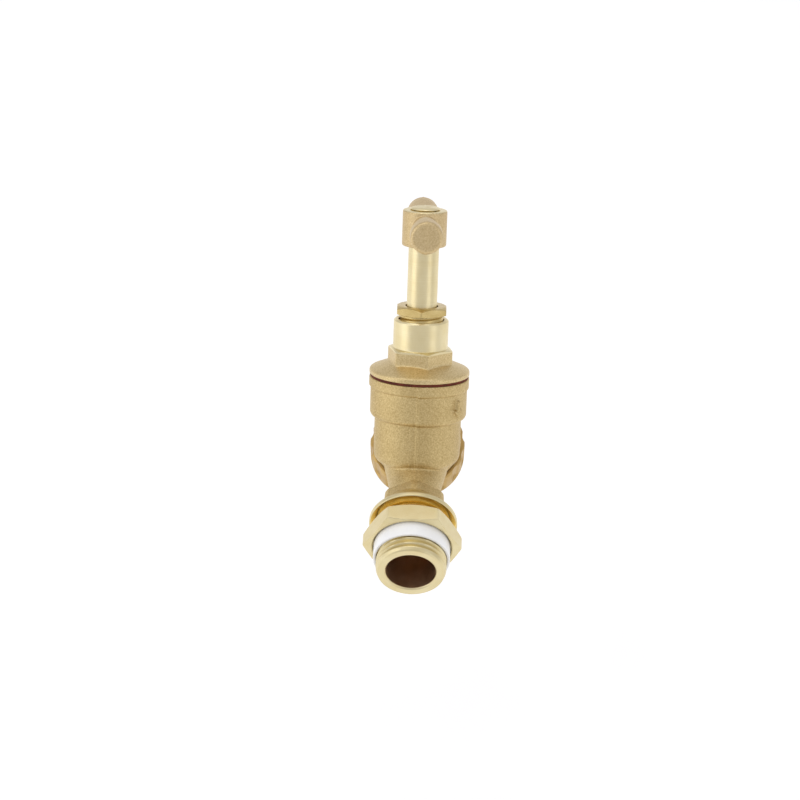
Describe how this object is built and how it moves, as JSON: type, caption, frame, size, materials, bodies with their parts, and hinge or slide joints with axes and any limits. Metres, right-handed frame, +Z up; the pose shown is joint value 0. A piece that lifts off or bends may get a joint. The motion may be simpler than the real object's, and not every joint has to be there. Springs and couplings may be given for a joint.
{
  "type": "hose union bib tap",
  "caption": "Screw-down wall tap with a crutch handle on an inclined headgear, a flanged threaded inlet tail with backnut, and a barbed hose union outlet.",
  "frame": {"origin": "centre of the inlet flange's wall-side face, on the axis of the inlet thread", "axes": "+Y along the inlet tail into the wall, +Z up, the tap stands out towards -Y and is symmetric about X = 0"},
  "size_m": [0.0306, 0.1059, 0.1272],
  "materials": {
    "cast_brass": "as cast and shot blasted, fine grain, dull",
    "bonnet_brass": "as forged flange and hexagon, turned neck",
    "handle_brass": "as forged, satin",
    "turned_brass": "turned, bright",
    "fibre": "vulcanised fibre, matte",
    "graphite_packing": "greased graphite packing",
    "black_rubber": "matte rubber",
    "white_washer": "smooth white plastic"
  },
  "bodies": {
    "tap_body": {"body": "cast_brass", "bonnet_gasket": "fibre", "bonnet": "bonnet_brass", "gland_nut": "turned_brass", "packing_washer": "turned_brass", "packing_ring_1": "graphite_packing", "packing_ring_2": "graphite_packing", "packing_ring_3": "graphite_packing", "gland_follower": "turned_brass"},
    "jumper_set": {"jumper": "turned_brass", "jumper_washer": "black_rubber", "jumper_nut": "turned_brass"},
    "spindle_set": {"spindle": "turned_brass", "crutch_handle": "handle_brass"},
    "tail_seal": {"tail_washer": "white_washer"},
    "tail_nut": {"backnut": "turned_brass"},
    "hose_end": {"hose_tail": "turned_brass", "union_washer": "black_rubber"},
    "hose_nut": {"union_nut": "turned_brass"}
  },
  "joints": [
    {"name": "valve_lift", "type": "slide", "parent": "tap_body", "child": "jumper_set", "axis": [0, -0.5, 0.866], "range_m": [0, 0.0053]},
    {"name": "handle_turn", "type": "hinge", "parent": "jumper_set", "child": "spindle_set", "pos_m": [0, -0.0259, 0], "axis": [0, -0.5, 0.866], "range_deg": [0, 900]},
    {"name": "tail_seal_travel", "type": "slide", "parent": "tap_body", "child": "tail_seal", "axis": [0, 1, 0], "range_m": [-0.003, 0.0073]},
    {"name": "backnut_turn", "type": "hinge", "parent": "tail_seal", "child": "tail_nut", "pos_m": [0, 0, 0], "axis": [0, 1, 0], "range_deg": [-590, 1440]},
    {"name": "hose_end_travel", "type": "slide", "parent": "tap_body", "child": "hose_end", "axis": [0, -0.3746, -0.9272], "range_m": [0, 0.0091]},
    {"name": "hose_nut_turn", "type": "hinge", "parent": "hose_end", "child": "hose_nut", "pos_m": [0, -0.0339, 0.01386], "axis": [0, -0.3746, -0.9272], "range_deg": [0, 1800]}
  ],
  "couplings": [
    {"joint": "valve_lift", "follows": "handle_turn", "m_per_rad": 0.00033687},
    {"joint": "tail_seal_travel", "follows": "backnut_turn", "m_per_rad": 0.00028875},
    {"joint": "hose_end_travel", "follows": "hose_nut_turn", "m_per_rad": 0.00028875}
  ]
}
